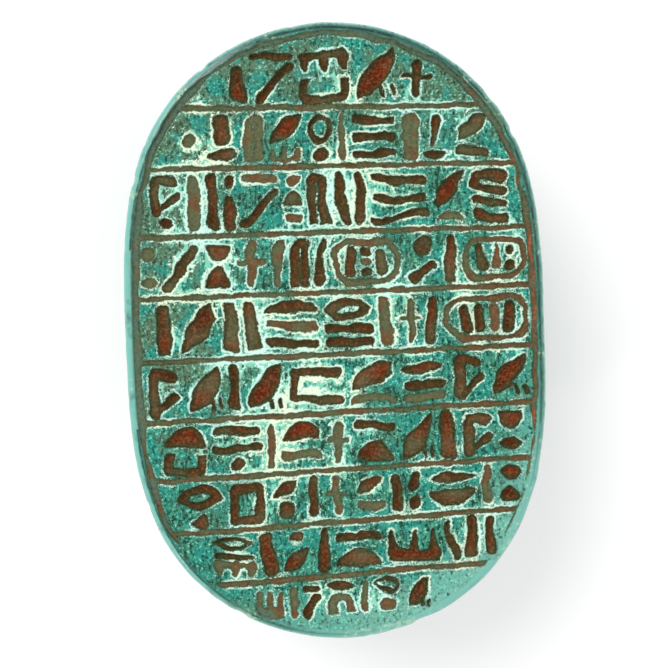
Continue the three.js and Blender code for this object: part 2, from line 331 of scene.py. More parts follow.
def cut_face(x, y):
    """Distance outside the nearest cut, and how deep that cut is from 0 to 1, for every point of the face.

    The points are first pushed about by noise, so that edges waver as they do under a hand-held graver."""
    wide = (lattice_noise(x, y, 2.1, 11), lattice_noise(x, y, 2.1, 12))
    fine = (lattice_noise(x, y, 0.8, 13), lattice_noise(x, y, 0.8, 14))
    sway = (lattice_noise(x, y, 4.5, 18), lattice_noise(x, y, 4.5, 19))
    px, py = (place + 0.26 * a + 0.14 * b + 0.28 * c for place, a, b, c in zip((x, y), wide, fine, sway))
    nearest = np.full_like(x, FAR)
    depth = np.zeros_like(x)

    def add(where, distance, deep):
        closer = distance < nearest[where]
        nearest[where] = np.where(closer, distance, nearest[where])
        depth[where] = np.where(closer, deep, depth[where])

    everywhere = np.ones(x.shape, bool)
    from_edge = distance_inside_outline(x + 0.26 * wide[0], y + 0.26 * wide[1])
    border_half_width = RULED_LINE_HALF_WIDTH + 0.2 * smoothstep(-16, -26, px)
    border = np.abs(from_edge - BORDER_INSET - RULED_LINE_HALF_WIDTH) - border_half_width
    faint = 0.5 * smoothstep(-16, -34, py) + 0.25 * lattice_noise(x, y, 5.0, 15)
    add(everywhere, border + faint, BORDER_DEPTH)
    straight_y = y + 0.1 * (wide[1] + fine[1])
    for line, slope in zip(ruling_y, ruling_slope):
        ruling = np.abs(straight_y - line - slope * x) - RULED_LINE_HALF_WIDTH
        add(everywhere, np.maximum(ruling, BORDER_INSET + 0.4 - from_edge), RULED_LINE_DEPTH)
    dice = np.random.default_rng(21)
    for row in range(len(ROWS)):
        for name, shallow, mark_x, mark_y, a, b in marks_of_row(row):
            lean = dice.uniform(-0.06, 0.06)
            grow = dice.uniform(-0.05, 0.07)
            deep = dice.uniform(0.78, 1.0)
            where = (np.abs(x - mark_x) < a + 2) & (np.abs(y - mark_y) < b + 2)
            upright_x, upright_y = px[where] - mark_x, py[where] - mark_y
            leaning_x, leaning_y = upright_x + lean * upright_y, upright_y - lean * upright_x
            distance = MARKS[name](leaning_x, leaning_y, max(a, 0.5), max(b, 0.45)) - grow
            add(where, distance, dice.uniform(0.15, 0.4) if shallow else deep)
    nearest += 0.05 + 0.11 * lattice_noise(x, y, 1.4, 16)
    depth *= 0.86 + 0.26 * lattice_noise(x, y, 3.1, 17)
    return nearest, np.clip(depth, 0.1, 1)


grid_u, grid_v = np.meshgrid(np.linspace(-1, 1, FACE_COLUMNS + 1), np.linspace(-1, 1, FACE_ROWS + 1))
disc_x = (grid_u * np.sqrt(1 - grid_v**2 / 2)).ravel()
disc_y = (grid_v * np.sqrt(1 - grid_u**2 / 2)).ravel()
face_x, face_y = plinth_plan(disc_x, disc_y, FACE_ROUNDING)
face_inset = np.maximum(distance_inside_outline(face_x, face_y), 0)
cut_distance, cut_depth = cut_face(face_x, face_y)

# The face's relief: cuts with sloping walls and a raised rim, and a plain that sinks towards its edge
WALL_RUN = 0.34
SHALLOWEST = 0.18
DEEPEST = 0.9
EDGE_DROP = 0.12
floor_share = smoothstep(0.02, -WALL_RUN, cut_distance)
rim_lift = 0.05 * np.exp(-(((cut_distance - 0.12) / 0.14) ** 2))
unevenness = 0.1 * lattice_noise(face_x, face_y, 11, 31) + 0.035 * lattice_noise(face_x, face_y, 2.2, 32)
inside = smoothstep(0.85, 1.15, face_inset)
sunk = floor_share * (SHALLOWEST + (DEEPEST - SHALLOWEST) * cut_depth)
face_z = FACE_Z - inside * (sunk - rim_lift - unevenness)
face_z -= EDGE_DROP * (1 - smoothstep(1.0, 4.5, face_inset))
face_vertices = np.column_stack([face_x, face_y, face_z])

# Where hands have worn the face most, where its glaze is pale or olive, and where rust has come into it
handled = np.exp(-(((face_x + 8) / 19.5) ** 2) - ((face_y - 4) / 25) ** 2)
wear_noise = 0.26 * lattice_noise(face_x, face_y, 9, 33) + 0.29 * lattice_noise(face_x, face_y, 3.5, 34)
face_worn = np.clip(0.15 + 0.3 * handled + wear_noise, 0, 1) * smoothstep(0.9, 4.0, face_inset)
face_pale = smoothstep(16, 36, 0.62 * face_x - 0.78 * face_y) * smoothstep(9, 3, face_inset)
face_olive = smoothstep(-10, -22, face_x) * smoothstep(-20, -8, face_y)
face_olive = np.minimum(face_olive + smoothstep(22, 38, face_y + 0.3 * np.abs(face_x)), 1)
face_rust = smoothstep(15, 24, face_x) * smoothstep(-24, -14, face_y) - face_olive

face_index = np.arange(len(face_x)).reshape(FACE_ROWS + 1, FACE_COLUMNS + 1)
face_quads = np.stack(
    [face_index[:-1, :-1], face_index[:-1, 1:], face_index[1:, 1:], face_index[1:, :-1]], axis=-1
).reshape(-1, 4)
face_rim = np.concatenate(
    [face_index[0, :-1], face_index[:-1, -1], face_index[-1, :0:-1], face_index[:0:-1, 0]]
)


# ---- The beetle's back ----------------------------------------------------------------------------
# The real beetle is carved in the round on the other side of the plinth: wing cases with a seam, a plain
# thorax, a head with a toothed shovel, and six folded legs with hatching. It faces down here.

BODY_RISE = PLINTH_BACK_Z
WING_CASES = dict(y=-5.0, a=23.8, b=33.5, rise=BODY_RISE + 0.35)
THORAX = dict(y=6.0, a=23.0, b=19.5, rise=27.0)
HEAD = dict(y=25.0, a=9.5, b=9.0, rise=17.0)
EYE = dict(x=9.4, y=26.0, a=2.2, b=3.0, rise=12.5)
SHOVEL_NECK_Y = 22.0
SHOVEL_RIM_Y = 29.5
SHOVEL_RADIUS = 10.9
SHOVEL_RISE = 8.6
SHOVEL_TEETH = 6
TOOTH_NOTCH = 1.7
TEETH_HALF_ANGLE = math.radians(68)
RIM_HALF_ANGLE = math.radians(70)

# The legs of one side from body to foot, as (x, y, half width, rise)
LEGS = {
    "front": ((19.5, 14, 2.6, 13), (20.6, 22, 2.7, 11.5), (18, 29.5, 2.6, 9.5), (13.6, 35.6, 2.2, 7.5)),
    "middle": ((21.5, 12, 2.4, 13), (24.3, 4, 2.5, 12), (25, -5, 2.3, 10.5), (24, -14, 1.9, 8)),
    "hind": ((23, -4, 2.4, 14.5), (23.7, -14, 2.5, 13), (21.6, -25, 2.3, 11), (15.2, -34, 1.9, 8)),
}
HATCH_PITCH = 1.7
SHIN_TOOTH_PITCH = 3.05
SHIN_TOOTH_RISE = 7.125


def mound(x, y, shape):
    """Rise of a dome on an oval foot.

    The share of the way out to the foot, to the power 2.4, is taken from 1, and the full rise is multiplied
    by what is left, to the power 1 over 2.2."""
    share = np.hypot((x - shape.get("x", 0)) / shape["a"], (y - shape["y"]) / shape["b"])
    return shape["rise"] * np.maximum(1 - share**2.4, 0) ** (1 / 2.2)


def soft_max(first, second, blend):
    """The higher of two rises, with the crease between them filled to a round of about the blend's size."""
    share = np.clip(0.5 + 0.5 * (first - second) / blend, 0, 1)
    return second + (first - second) * share + blend * share * (1 - share) * 0.5


def groove(distance, half_width, depth):
    """Depth of a round-bottomed groove at a distance from its middle, falling off as a bell curve."""
    return depth * np.exp(-((distance / half_width) ** 2))


def smooth_route(stations, count=48):
    """A Catmull-Rom curve through the stations: count points of (x, y, half width, rise)."""
    points = np.array(stations, float)
    ends = np.vstack([2 * points[0] - points[1], points, 2 * points[-1] - points[-2]])
    place = np.linspace(0, len(points) - 1 - 1e-9, count)
    k, t = np.floor(place).astype(int), (place % 1)[:, None]
    p0, p1, p2, p3 = (ends[k + i] for i in range(4))
    square = 2 * p0 - 5 * p1 + 4 * p2 - p3
    cube = 3 * p1 - p0 - 3 * p2 + p3
    return 0.5 * (2 * p1 + (p2 - p0) * t + square * t**2 + cube * t**3)


def leg_rise(x, y, stations):
    """Rise of one leg, how far along it each point lies, and how far off its middle line.

    The section is a wall with upright sides and a round top: the rise times the square root of 1 less the
    fourth power of the share of the way out from the middle line."""
    route = smooth_route(stations)
    nearest = np.full(x.shape, 1e9)
    along, rise, half_width = np.zeros(x.shape), np.zeros(x.shape), np.ones(x.shape)
    lengths = np.hypot(*np.diff(route[:, :2], axis=0).T)
    begun = np.concatenate([[0], np.cumsum(lengths)])
    for k, start in enumerate(route[:-1]):
        step = route[k + 1] - start
        across, up = x - start[0], y - start[1]
        t = np.clip((across * step[0] + up * step[1]) / (step[0] ** 2 + step[1] ** 2), 0, 1)
        off = np.hypot(across - t * step[0], up - t * step[1])
        closer = off < nearest
        nearest = np.where(closer, off, nearest)
        along = np.where(closer, begun[k] + t * lengths[k], along)
        half_width = np.where(closer, start[2] + t * step[2], half_width)
        rise = np.where(closer, start[3] + t * step[3], rise)
    section = np.maximum(1 - (nearest / half_width) ** 4, 0) ** 0.5
    return rise * section, along, nearest


def body_rise(x, y):
    """Rise of the wing cases and the thorax, and how deep each point lies in one of their grooves.

    The thorax ends in a line that bows back at the middle. Grooves follow that line, the seam between the
    wing cases, and the rims of both domes, which are ovals at a constant share of the way out."""
    side = np.abs(x)
    wing_dome, thorax_dome = mound(x, y, WING_CASES), mound(x, y, THORAX)
    front_line = 6.0 - 1.6 * (1 - (side / 22) ** 2)
    body = np.where(y < front_line, wing_dome, thorax_dome)
    body = np.maximum(body, np.minimum(wing_dome * smoothstep(8.2, 5.0, y), thorax_dome))
    behind = smoothstep(0.3, -0.6, y - front_line)
    cut = groove(y - front_line, 0.75, 1.0)
    cut = np.maximum(cut, groove(y - front_line + 2.4, 0.5, 0.55))
    wing_edge = np.hypot(x / WING_CASES["a"], (y - WING_CASES["y"]) / WING_CASES["b"])
    cut = np.maximum(cut, behind * groove(x, 0.6, 0.9) * smoothstep(0.93, 0.89, wing_edge))
    cut = np.maximum(cut, behind * groove((wing_edge - 0.9) * 22, 0.6, 0.7))
    shoulder = np.abs(side - 15.5) + 0.9 * np.abs(y - front_line + 3.4) - 1.8
    cut = np.maximum(cut, 0.45 * smoothstep(0.5, -0.4, shoulder) * behind)
    thorax_edge = np.hypot(x / THORAX["a"], (y - THORAX["y"]) / THORAX["b"])
    cut = np.maximum(cut, (1 - behind) * groove((thorax_edge - 0.88) * 20, 0.6, 0.6))
    return np.maximum(body - cut * (body > 2), 0), cut


def head_rise(x, y):
    """Rise of the head, its eyes and its shovel.

    The shovel's rim is an arc whose radius dips between the teeth, and its ribs fan out to them. Behind the
    arc its cheeks narrow to the neck."""
    side = np.abs(x)
    angle = np.arctan2(x, y - SHOVEL_RIM_Y)
    radius = np.hypot(x, y - SHOVEL_RIM_Y)
    tooth_turn = angle / TEETH_HALF_ANGLE * math.pi * SHOVEL_TEETH
    tooth = 0.5 + 0.5 * np.cos(tooth_turn + math.pi)
    rim = SHOVEL_RADIUS - TOOTH_NOTCH * (1 - tooth) ** 1.5 * (np.abs(angle) < RIM_HALF_ANGLE)
    in_rim = smoothstep(0.35, -0.35, radius - rim)
    cheek = 10.5 + 0.32 * (y - SHOVEL_NECK_Y)
    in_cheeks = smoothstep(0.35, -0.35, side - cheek) * (y > SHOVEL_NECK_Y - 6)
    plate = np.where(y > SHOVEL_RIM_Y, in_rim, in_cheeks * (y < SHOVEL_RIM_Y))
    ribs = groove(np.sin(tooth_turn / 2) * 2.2, 0.9, 0.35) * smoothstep(5, 8, radius)
    shovel = plate * (SHOVEL_RISE - ribs * (y > SHOVEL_RIM_Y) - 0.05 * radius)
    brow = groove(radius - 6.4, 0.5, 0.5) * (y > SHOVEL_RIM_Y - 3)
    head = mound(x, y, HEAD)
    head = head - groove(side - 2.6, 0.4, 0.4) * (head > 6)
    return soft_max(soft_max(shovel - brow * plate, head, 1.2), mound(side, y, EYE), 0.5)


def beetle_rise(x, y):
    """Rise of the beetle above the plinth's back, and how deep each point lies in a groove.

    Each leg has two knees and a hatching of shallow ribs, and the front shins have teeth."""
    side = np.abs(x)
    body, cut = body_rise(x, y)
    total = soft_max(body, head_rise(x, y), 0.8)
    for name, stations in LEGS.items():
        rise, along, off = leg_rise(side, y, stations)
        knees = groove(along - 9.5, 0.5, 0.7) + groove(along - 17.5, 0.45, 0.5)
        hatching = 0.28 * (0.5 + 0.5 * np.cos((along + 0.7 * off) * 2 * math.pi / HATCH_PITCH))
        ridged = rise - (knees + hatching) * (rise > 2)
        if name == "front":
            tooth = np.maximum(np.cos((along - 14.2) * 2 * math.pi / SHIN_TOOTH_PITCH), 0)
            reach = 2.6 + 1.15 * tooth * smoothstep(12.5, 14, along)
            on_shin = (along > 12.5) & (along < 24.5)
            outside = (side > 14) & (side + 0.5 * y > 28)
            toothed = (off >= 2.2) & (off < reach) & on_shin & outside
            ridged = np.where(toothed, np.maximum(ridged, SHIN_TOOTH_RISE), ridged)
        total = soft_max(total, np.maximum(ridged, 0), 0.5)
    return np.maximum(total, 0), cut


RAYS = len(face_rim) // 2
OUTER_RINGS = 44
INNER_RINGS = 30
BACK_MIDDLE = np.array([0.0, WING_CASES["y"]])

rim_disc_x, rim_disc_y = disc_x[face_rim[::2]], disc_y[face_rim[::2]]


def ring_at(inset, z, wear=1.0):
    """One loop round the plinth at an inset from its outline and a height, with some share of the wear."""
    x, y = plinth_plan(rim_disc_x, rim_disc_y, inset)
    worn_in = 0.05 + 0.05 * lattice_noise(x, y + z, 3.2, 51) + 0.03 * lattice_noise(x, y - z, 1.1, 52)
    nick = 0.2 * smoothstep(0.5, 1.0, lattice_noise(x + 7, y + 3, 2.4, 53))
    x, y = plinth_plan(rim_disc_x, rim_disc_y, inset + wear * (worn_in + nick))
    return np.column_stack([x, y, np.full_like(x, z)])


# The plinth's edge from the face to the back, as (inset, height): two quarter rounds and an upright side
side_stations = [
    (FACE_ROUNDING * (1 - math.sin(t)), FACE_Z - EDGE_DROP - FACE_ROUNDING * (1 - math.cos(t)))
    for t in np.radians(np.linspace(18, 90, 5))
]
side_stations += [(0.0, PLINTH_BACK_Z + rise) for rise in (3.6, 2.4, BACK_ROUNDING)]
side_stations += [
    (BACK_ROUNDING * (1 - math.cos(t)), PLINTH_BACK_Z + BACK_ROUNDING * (1 - math.sin(t)))
    for t in np.radians((30, 60, 90))
]
side_rings = [ring_at(*station) for station in side_stations]

# From the plinth's back edge a ray runs in to the middle of the back. Points are spread along it by the
# length of the surface, which is averaged over the neighbouring rays so that the rings stay smooth.
RAY_STEPS = 500
OUTER_SHARE = 0.62
LAST_SHARE = 0.985
edge_plan = side_rings[-1][:, :2]


def points_on_rays(share):
    """Points at a share of the way out from the middle of the back to the plinth's back edge."""
    return (BACK_MIDDLE[k] + share * (edge_plan[:, k : k + 1] - BACK_MIDDLE[k]) for k in (0, 1))


ray_share = np.linspace(1, 0, RAY_STEPS)
ray_x, ray_y = points_on_rays(ray_share[None, :])
ray_rise = beetle_rise(ray_x, ray_y)[0]
plan_step = np.hypot(np.diff(ray_x), np.diff(ray_y))
surface_step = np.hypot(plan_step, np.minimum(np.abs(np.diff(ray_rise)), 2.5 * plan_step))
surface_step = sum(np.roll(surface_step, k, axis=0) for k in range(-4, 5)) / 9
travelled = np.concatenate([np.zeros((RAYS, 1)), np.cumsum(surface_step, axis=1)], axis=1)
travelled /= travelled[:, -1:]
outer_places = np.linspace(0, OUTER_SHARE, OUTER_RINGS + 1)[1:]
inner_places = np.linspace(OUTER_SHARE, LAST_SHARE, INNER_RINGS + 1)[1:]
wanted = np.concatenate([outer_places, inner_places])

# One interpolation serves all rays, each moved on by 2 so that their shares, from 0 to 1, never meet
offset = np.arange(RAYS)[:, None] * 2.0
back_share = np.interp(
    (wanted[None, :] + offset).ravel(), (travelled + offset).ravel(), np.tile(ray_share, RAYS)
).reshape(RAYS, -1)
back_x, back_y = points_on_rays(back_share)
back_rise, back_cut = beetle_rise(back_x, back_y)
roughness = 0.06 * lattice_noise(back_x, back_y, 3.5, 41) + 0.03 * lattice_noise(back_x, back_y, 1.3, 42)
back_rise += roughness * (back_rise > 1)
back_z = np.maximum(PLINTH_BACK_Z - back_rise, 0)

rings = [np.column_stack([back_x[:, k], back_y[:, k], back_z[:, k]]) for k in range(back_x.shape[1])]
loops = side_rings + rings[:OUTER_RINGS] + [ring[::2] for ring in rings[OUTER_RINGS:]]
pole = np.array([[*BACK_MIDDLE, 0.0]])


# ---- One closed skin ------------------------------------------------------------------------------
# The real amulet is one stone, so the face, the plinth's edge and the beetle are one mesh. Where the loops
# get shorter, every second point is left out and the two loops are stitched with triangles.

face_count = len(face_x)
side_count = sum(len(loop) for loop in side_rings)
starts = np.cumsum([face_count] + [len(loop) for loop in loops])
loop_indices = [np.arange(start, start + len(loop)) for start, loop in zip(starts, loops)]
triangles, quads = [], [face_quads]


def stitch(outer, inner):
    """Faces between two loops with equally many points, or with twice as many on the outer one."""
    if len(outer) == len(inner):
        quads.append(np.column_stack([outer, inner, np.roll(inner, -1), np.roll(outer, -1)]))
        return
    first, middle, last = outer[::2], outer[1::2], np.roll(outer[::2], -1)
    near, far = inner, np.roll(inner, -1)
    for corners in ((first, near, middle), (middle, near, far), (middle, far, last)):
        triangles.append(np.column_stack(corners))


for outer, inner in zip([face_rim] + loop_indices[:-1], loop_indices):
    stitch(outer, inner)
pole_index = starts[-1]
last_loop = loop_indices[-1]
triangles.append(np.column_stack([last_loop, np.full_like(last_loop, pole_index), np.roll(last_loop, -1)]))

vertices = np.vstack([face_vertices, *loops, pole]) * MM
quads, triangles = np.vstack(quads), np.vstack(triangles)
skin = bpy.data.meshes.new("scarab_skin")
skin.from_pydata(vertices, [], quads.tolist() + triangles.tolist())
skin.validate()
skin.shade_smooth()


def store(mesh, name, values):
    """Keeps one number for each vertex as an attribute that the material reads."""
    attribute = mesh.attributes.new(name, "FLOAT", "POINT")
    attribute.data.foreach_set("value", values.astype(np.float32))


def whole(on_face, beyond=0.0):
    """One number for each vertex: those on the face, then those on the edge and the back."""
    return np.concatenate([on_face, np.broadcast_to(beyond, len(vertices) - face_count)])


def in_ring_order(table):
    """The back's numbers, one row for each ray, in the order of the vertices, with 0 for the pole."""
    return np.concatenate([table[:, :OUTER_RINGS].T.ravel(), table[::2, OUTER_RINGS:].T.ravel(), [0]])


EDGE_REACH = 1.5
none_on_face = np.zeros(face_count)
beyond_x, beyond_y, beyond_z = vertices[face_count:].T / MM
beyond_inset = np.zeros(len(vertices) - face_count)
beyond_inset[:side_count] = np.repeat([inset for inset, z in side_stations], RAYS)
hollow = np.zeros(len(vertices) - face_count)
hollow[side_count:] = in_ring_order(np.minimum(back_cut / 0.8, 1))
# Painted highlight: the upper band of the plinth's side, which soft light from all round would brighten, is
# marked to be painted lighter
crest = smoothstep(FACE_Z - 3.2, FACE_Z - 1.2, beyond_z)
# Painted light: the plinth's left rim and the upper band of its left and lower-right sides are marked to be
# painted lighter. The same attribute also holds the face's own paler glaze at the lower right
lit_left_rim = smoothstep(-8, -24, face_x) * (face_inset < 0.87)
lit_sides = smoothstep(-8, -24, beyond_x) + smoothstep(22, 36, 0.62 * beyond_x - 0.78 * beyond_y)
store(skin, "edge", whole(np.clip(EDGE_REACH - cut_distance, 0, 3) * (inside > 0.3)))
store(skin, "deep", whole(cut_depth))
store(skin, "face", whole(smoothstep(0.8, 1.5, face_inset)))
store(skin, "worn", whole(face_worn))
store(skin, "crest", whole(none_on_face, crest * smoothstep(0.5, 0.1, beyond_inset)))
store(skin, "pale_and_lit", whole(np.maximum(face_pale, lit_left_rim), lit_sides * crest))
store(skin, "olive", whole(face_olive))
store(skin, "rust", whole(face_rust))
store(skin, "inset", whole(np.clip(face_inset, 0, 6), beyond_inset))
store(skin, "hollow", whole(none_on_face, hollow))

# How sharply each point stands out from its neighbours: above 0 on ridges, where the glaze wears off, and
# below 0 in creases. The bend at a vertex is the sum over its edges of the drop below its tangent plane
# divided by the edge's squared length, then evened out over the neighbours.
edge_ends = np.empty(2 * len(skin.edges), np.int32)
skin.edges.foreach_get("vertices", edge_ends)
edge_ends = edge_ends.reshape(-1, 2)
normals = np.empty(3 * len(skin.vertices), np.float32)
skin.vertices.foreach_get("normal", normals)
normals = normals.reshape(-1, 3)
offsets = (vertices[edge_ends[:, 1]] - vertices[edge_ends[:, 0]]) / MM
squared_lengths = np.einsum("ij,ij->i", offsets, offsets)
bend = np.zeros(len(vertices))
for near_end, sign in ((0, 1), (1, -1)):
    lean = np.einsum("ij,ij->i", sign * offsets, normals[edge_ends[:, near_end]])
    bend -= np.bincount(edge_ends[:, near_end], lean / squared_lengths, len(bend))
neighbours = np.bincount(edge_ends.ravel(), minlength=len(bend))
for _ in range(2):
    spread = np.bincount(edge_ends[:, 0], bend[edge_ends[:, 1]], len(bend))
    spread += np.bincount(edge_ends[:, 1], bend[edge_ends[:, 0]], len(bend))
    bend = 0.5 * bend + 0.5 * spread / neighbours
bend[:face_count] = 0
bend[np.hypot(*(vertices[:, :2] / MM - BACK_MIDDLE).T) < 2.5] = 0
bend[face_count : face_count + side_count] *= 0.35
store(skin, "ridge", bend)

amulet = bpy.data.objects.new("glazed_scarab", skin)
bpy.context.scene.collection.objects.link(amulet)


# ---- The cord hole --------------------------------------------------------------------------------
# A gold wire or a cord held the real amulet. Its hole was drilled from both ends, through the whole length
# between the plinth and the beetle's belly.

HOLE_RADIUS = 3.0
HOLE_Z = PLINTH_BACK_Z - 4.5
HOLE_SIDES = 48
HOLE_RINGS = 25
DRILL_OVERRUN = 4
turn = np.linspace(0, 2 * math.pi, HOLE_SIDES, endpoint=False)
drill_reach = HALF_LENGTH + DRILL_OVERRUN
ring_angle, ring_y = np.meshgrid(turn, np.linspace(-drill_reach, drill_reach, HOLE_RINGS))
hole_radius = HOLE_RADIUS * (1 + 0.03 * lattice_noise(ring_y, 3 * np.cos(ring_angle), 6, 61))
drill_x = hole_radius * np.sin(ring_angle)
drill_z = HOLE_Z + hole_radius * np.cos(ring_angle)
drill_vertices = np.column_stack([drill_x.ravel(), ring_y.ravel(), drill_z.ravel()]) * MM
index = np.arange(ring_y.size).reshape(ring_y.shape)
turned = np.roll(index, -1, axis=1)
drill_faces = np.stack([index[:-1], turned[:-1], turned[1:], index[1:]], axis=-1).reshape(-1, 4)
drill_ends = [index[0][::-1].tolist(), index[-1].tolist()]
drill_mesh = bpy.data.meshes.new("drill")
drill_mesh.from_pydata(drill_vertices, [], drill_faces.tolist() + drill_ends)
store(drill_mesh, "hollow", np.ones(len(drill_vertices)))
drill = bpy.data.objects.new("drill", drill_mesh)
bpy.context.scene.collection.objects.link(drill)
boring = amulet.modifiers.new("cord_hole", "BOOLEAN")
boring.object = drill
boring.operation = "DIFFERENCE"
boring.solver = "EXACT"
bpy.context.view_layer.objects.active = amulet
bpy.ops.object.modifier_apply(modifier="cord_hole")
bpy.data.objects.remove(drill)


# ---- The glaze ------------------------------------------------------------------------------------
# The real stone was fired with a copper glaze, which came out blue-green, pooled dark in the low places
# and wore through to cream on the high ones. Brown-red earth has stayed in every cut. Painted shade darkens
# the walls of the cuts, and painted highlights lie round them and along the plinth's side.


def srgb(red, green, blue):
    """A colour as the eye reads it, from 0 to 255, as linear light."""
    share = np.array([red, green, blue]) / 255
    return (*np.where(share <= 0.04045, share / 12.92, ((share + 0.055) / 1.055) ** 2.4), 1.0)


def add_node(tree, kind, sockets=None, **settings):
    """Adds a node, changes its settings, and fills its input sockets with values or links."""
    made = tree.nodes.new(kind)
    for name, value in settings.items():
        setattr(made, name, value)
    for name, value in (sockets or {}).items():
        if isinstance(value, bpy.types.NodeSocket):
            tree.links.new(value, made.inputs[name])
        else:
            made.inputs[name].default_value = value
    return made


def step_node(tree, value, low, high):
    """A smooth step of a value, from 0 at low to 1 at high."""
    sockets = {"Value": value, "From Min": low, "From Max": high}
    return add_node(tree, "ShaderNodeMapRange", sockets, interpolation_type="SMOOTHSTEP").outputs["Result"]


def sum_node(tree, operation, first, second):
    """Two values joined by a math operation."""
    return add_node(tree, "ShaderNodeMath", {0: first, 1: second}, operation=operation).outputs[0]


def blend_node(tree, share, first, second):
    """A colour that runs from the first to the second as the share goes from 0 to 1."""
    return add_node(tree, "ShaderNodeMix", {0: share, 6: first, 7: second}, data_type="RGBA").outputs[2]


def noise_node(tree, vector, scale, detail=3.0, roughness=0.55):
    """Cloudy noise with so many lumps to a millimetre, mostly from 0.3 to 0.7."""
    sockets = {"Vector": vector, "Scale": scale, "Detail": detail, "Roughness": roughness}
    return add_node(tree, "ShaderNodeTexNoise", sockets).outputs["Fac"]


def new_group(name, inputs, outputs):
    """An empty shader node group with named inputs and outputs: (tree, input node, output node)."""
    tree = bpy.data.node_groups.new(name, "ShaderNodeTree")
    for socket, kind in inputs.items():
        tree.interface.new_socket(socket, in_out="INPUT", socket_type=kind)
    for socket, kind in outputs.items():
        tree.interface.new_socket(socket, in_out="OUTPUT", socket_type=kind)
    return tree, tree.nodes.new("NodeGroupInput"), tree.nodes.new("NodeGroupOutput")


VALUE, VECTOR = "NodeSocketFloat", "NodeSocketVector"

# Specks: noise cut off at a level, so that more of it shows where the amount is greater
speck_inputs = {"Vector": VECTOR, "Scale": VALUE, "Amount": VALUE}
specks, given, result = new_group("specks", speck_inputs, {"Mask": VALUE})
grains = noise_node(specks, given.outputs["Vector"], given.outputs["Scale"], 4.0, 0.65)
level = sum_node(specks, "SUBTRACT", 0.78, sum_node(specks, "MULTIPLY", given.outputs["Amount"], 0.42))
over = sum_node(specks, "SUBTRACT", grains, level)
specks.links.new(step_node(specks, over, -0.02, 0.035), result.inputs["Mask"])

# Cut bands: masks for the fill of a cut, its floor, its deep core, the line round it and the plain near it.
# The edge attribute is EDGE_REACH at a cut's edge, more inside it and less outside it, in millimetres.
BANDS = {
    "Fill": (EDGE_REACH - 0.05, EDGE_REACH + 0.08),
    "Floor": (EDGE_REACH + 0.04, EDGE_REACH + 0.3),
    "Core": (EDGE_REACH + 0.26, EDGE_REACH + 0.74),
    "Rim": (EDGE_REACH - 0.33, EDGE_REACH - 0.16),
    "Near": (0.1, EDGE_REACH - 0.1),
}
band_outputs = dict.fromkeys(BANDS, VALUE)
cut_bands, given, result = new_group("cut_bands", {"Edge": VALUE, "Wander": VALUE}, band_outputs)
centred = sum_node(cut_bands, "SUBTRACT", given.outputs["Wander"], 0.5)
edge = sum_node(cut_bands, "ADD", given.outputs["Edge"], sum_node(cut_bands, "MULTIPLY", centred, 0.8))
band_masks = {name: step_node(cut_bands, edge, low, high) for name, (low, high) in BANDS.items()}
outside = sum_node(cut_bands, "SUBTRACT", 1.0, band_masks["Fill"])
band_masks["Rim"] = sum_node(cut_bands, "MULTIPLY", band_masks["Rim"], outside)
for name, mask in band_masks.items():
    cut_bands.links.new(mask, result.inputs[name])

glaze = bpy.data.materials.new("glazed_stone")
glaze.use_nodes = True
nodes = glaze.node_tree
shader = nodes.nodes["Principled BSDF"]
ATTRIBUTES = ("edge", "deep", "face", "worn", "pale_and_lit", "olive", "rust", "inset", "crest", "hollow", "ridge")
read = {}
for name in ATTRIBUTES:
    read[name] = add_node(nodes, "ShaderNodeAttribute", attribute_name=name).outputs["Fac"]
position = add_node(nodes, "ShaderNodeTexCoord").outputs["Object"]


def scaled_position(x, y, z):
    """The place on the piece, scaled from metres. Noise read there draws out along a less scaled axis."""
    return add_node(nodes, "ShaderNodeMapping", {"Vector": position, "Scale": (x, y, z)}).outputs["Vector"]


in_mm = scaled_position(1000, 1000, 1000)
drawn_out = scaled_position(1700, 650, 1000)

clouds = noise_node(nodes, in_mm, 0.09, 2.0)
patches = noise_node(nodes, in_mm, 0.3, 3.0)
streaks = noise_node(nodes, drawn_out, 1.3, 4.0, 0.7)
grain = noise_node(nodes, in_mm, 2.6, 4.0, 0.7)
sand = noise_node(nodes, in_mm, 5.0, 2.0, 0.6)


def masked(*masks):
    """The product of several masks or numbers."""
    product = masks[0]
    for mask in masks[1:]:
        product = sum_node(nodes, "MULTIPLY", product, mask)
    return product


def placed(group, **sockets):
    """One use of a node group, with its inputs filled: its outputs by name."""
    return add_node(nodes, "ShaderNodeGroup", sockets, node_tree=group).outputs


def both(first, second):
    """The sum of two masks or numbers."""
    return sum_node(nodes, "ADD", first, second)


def less(first, second):
    """What is left of the first mask or number without the second."""
    return sum_node(nodes, "SUBTRACT", first, second)


def ramp(value, low, high):
    """A smooth step of a mask in this material."""
    return step_node(nodes, value, low, high)


def paint(over, share, colour):
    """One layer of colour over another, where the share of it is above 0."""
    return blend_node(nodes, share, over, colour)


# Body of the glaze on the face: dark, middle and light blue-green, with bluer and greener patches
body = paint(srgb(14, 72, 54), ramp(streaks, 0.42, 0.58), srgb(60, 142, 118))
blue_grains = masked(ramp(patches, 0.44, 0.56), ramp(grain, 0.36, 0.5))
body = paint(body, masked(blue_grains, 0.85), srgb(12, 142, 128))
body = paint(body, masked(ramp(clouds, 0.54, 0.68), 0.4), srgb(80, 108, 78))
body = paint(body, masked(read["olive"], ramp(patches, 0.62, 0.4), 0.65), srgb(94, 110, 80))
# Paler glaze at the lower right of the face, and painted light along its left rim
body = paint(body, masked(read["pale_and_lit"], 0.75), srgb(124, 190, 172))
body = paint(body, masked(ramp(grain, 0.52, 0.65), ramp(sand, 0.4, 0.6)), srgb(140, 240, 206))
pits = ramp(both(grain, masked(streaks, 0.8)), 0.84, 0.74)
body = paint(body, masked(pits, read["face"], 0.9), srgb(10, 50, 34))
